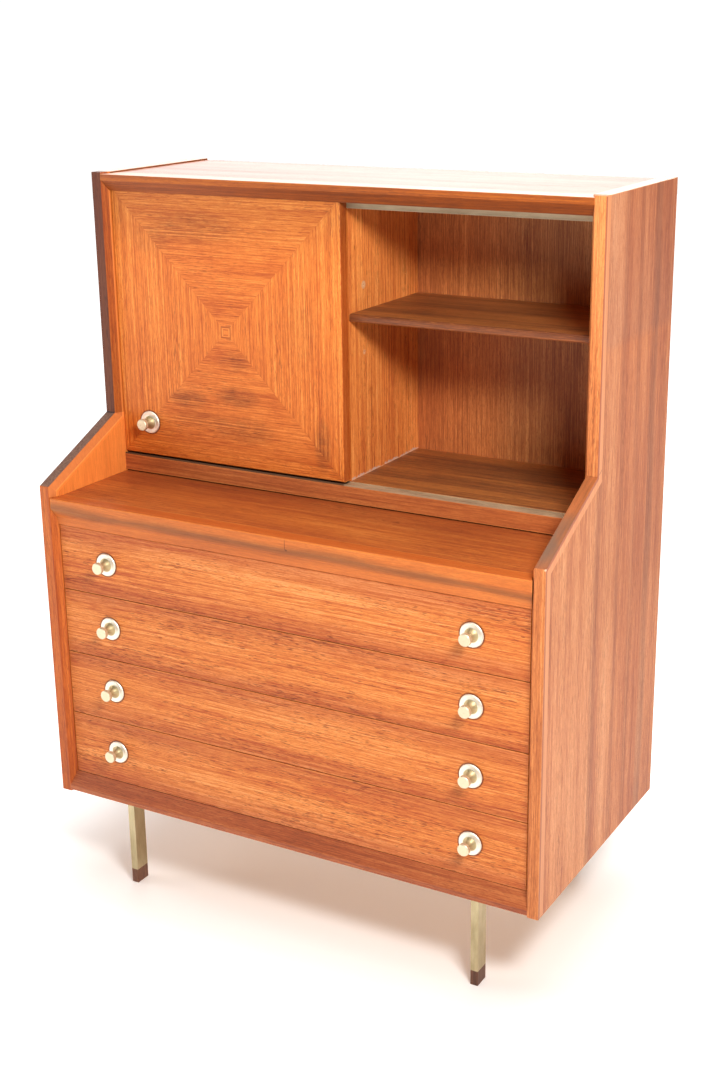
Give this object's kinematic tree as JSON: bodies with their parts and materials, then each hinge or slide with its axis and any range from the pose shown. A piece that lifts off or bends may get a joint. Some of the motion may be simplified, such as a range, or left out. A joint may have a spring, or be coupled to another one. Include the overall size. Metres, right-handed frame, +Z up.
{
  "type": "secretary desk",
  "caption": "Teak secretary desk with a chest of drawers under a pull-out writing leaf, and a set-back upper cabinet with shelves and a sliding door, on slim metal legs.",
  "frame": {"origin": "on the floor, under the middle of the overall box (from the back to the tips of the drawer knobs)", "axes": "+Z up, the front faces -Y, +X to the right of somebody sitting at the desk"},
  "size_m": [0.95, 0.5164, 1.273],
  "materials": {
    "teak_side_veneer": "oiled teak veneer, satin",
    "teak_lipping": "oiled solid teak, satin",
    "teak_top_veneer": "oiled teak veneer, satin",
    "teak_moulding": "oiled solid teak, satin",
    "teak_shelf_veneer": "oiled teak veneer, satin",
    "teak_divider_veneer": "oiled teak veneer, satin",
    "teak_back_veneer": "oiled teak veneer, satin",
    "teak_leaf_veneer": "oiled teak veneer, satin",
    "teak_door_veneer": "oiled teak veneer, four mitred quarters",
    "teak_drawer_veneer": "oiled teak veneer, satin",
    "teak_leg_tip": "oiled solid teak, satin",
    "beech_inner_wood": "plain sanded hardwood",
    "plain_board": "plain sanded plywood",
    "satin_knob_metal": "turned satin metal",
    "leg_metal": "brushed, warm nickel tone",
    "aluminium_track": "extruded, dull",
    "steel_pin": "plain bright steel",
    "guide_plastic": "plain black"
  },
  "bodies": {
    "carcass": {"side_panel_left": "teak_side_veneer", "side_panel_right": "teak_side_veneer", "front_lipping_left": "teak_lipping", "front_lipping_right": "teak_lipping", "top_panel": "teak_top_veneer", "top_front_rail": "teak_moulding", "bottom_panel": "plain_board", "bottom_front_rail": "teak_moulding", "cabinet_floor": "teak_shelf_veneer", "cabinet_floor_rail": "teak_moulding", "centre_divider": "teak_divider_veneer", "divider_edge_strip": "teak_lipping", "shelf_left": "teak_shelf_veneer", "shelf_right": "teak_shelf_veneer", "shelf_pins": "steel_pin", "back_panel_upper": "teak_back_veneer", "back_panel_lower": "plain_board", "upper_track": "aluminium_track", "lower_track": "aluminium_track", "drawer_runners_left": "beech_inner_wood", "drawer_runners_right": "beech_inner_wood", "leaf_cleat_left": "beech_inner_wood", "leaf_cleat_right": "beech_inner_wood", "stretcher": "beech_inner_wood", "leg_front_left": "leg_metal", "leg_front_right": "leg_metal", "leg_rear_left": "leg_metal", "leg_rear_right": "leg_metal", "leg_tip_front_left": "teak_leg_tip", "leg_tip_front_right": "teak_leg_tip", "leg_tip_rear_left": "teak_leg_tip", "leg_tip_rear_right": "teak_leg_tip", "leg_plates": "leg_metal", "leg_screws": "steel_pin"},
    "drawer_1": {"drawer_1_front": "teak_drawer_veneer", "drawer_1_sides": "beech_inner_wood", "drawer_1_back": "beech_inner_wood", "drawer_1_bottom": "plain_board", "drawer_1_knobs": "satin_knob_metal"},
    "drawer_2": {"drawer_2_front": "teak_drawer_veneer", "drawer_2_sides": "beech_inner_wood", "drawer_2_back": "beech_inner_wood", "drawer_2_bottom": "plain_board", "drawer_2_knobs": "satin_knob_metal"},
    "drawer_3": {"drawer_3_front": "teak_drawer_veneer", "drawer_3_sides": "beech_inner_wood", "drawer_3_back": "beech_inner_wood", "drawer_3_bottom": "plain_board", "drawer_3_knobs": "satin_knob_metal"},
    "drawer_4": {"drawer_4_front": "teak_drawer_veneer", "drawer_4_sides": "beech_inner_wood", "drawer_4_back": "beech_inner_wood", "drawer_4_bottom": "plain_board", "drawer_4_knobs": "satin_knob_metal"},
    "writing_leaf": {"writing_leaf": "teak_leaf_veneer", "leaf_front_rail": "teak_moulding"},
    "sliding_door": {"sliding_door": "teak_door_veneer", "door_knob": "satin_knob_metal", "door_guides": "guide_plastic"}
  },
  "joints": [
    {"name": "drawer_1_slide", "type": "slide", "parent": "carcass", "child": "drawer_1", "axis": [0, -1, 0], "range_m": [0, 0.33]},
    {"name": "drawer_2_slide", "type": "slide", "parent": "carcass", "child": "drawer_2", "axis": [0, -1, 0], "range_m": [0, 0.33]},
    {"name": "drawer_3_slide", "type": "slide", "parent": "carcass", "child": "drawer_3", "axis": [0, -1, 0], "range_m": [0, 0.33]},
    {"name": "drawer_4_slide", "type": "slide", "parent": "carcass", "child": "drawer_4", "axis": [0, -1, 0], "range_m": [0, 0.33]},
    {"name": "writing_leaf_slide", "type": "slide", "parent": "carcass", "child": "writing_leaf", "axis": [0, -1, 0], "range_m": [0, 0.26]},
    {"name": "sliding_door_slide", "type": "slide", "parent": "carcass", "child": "sliding_door", "axis": [1, 0, 0], "range_m": [0, 0.434]}
  ]
}
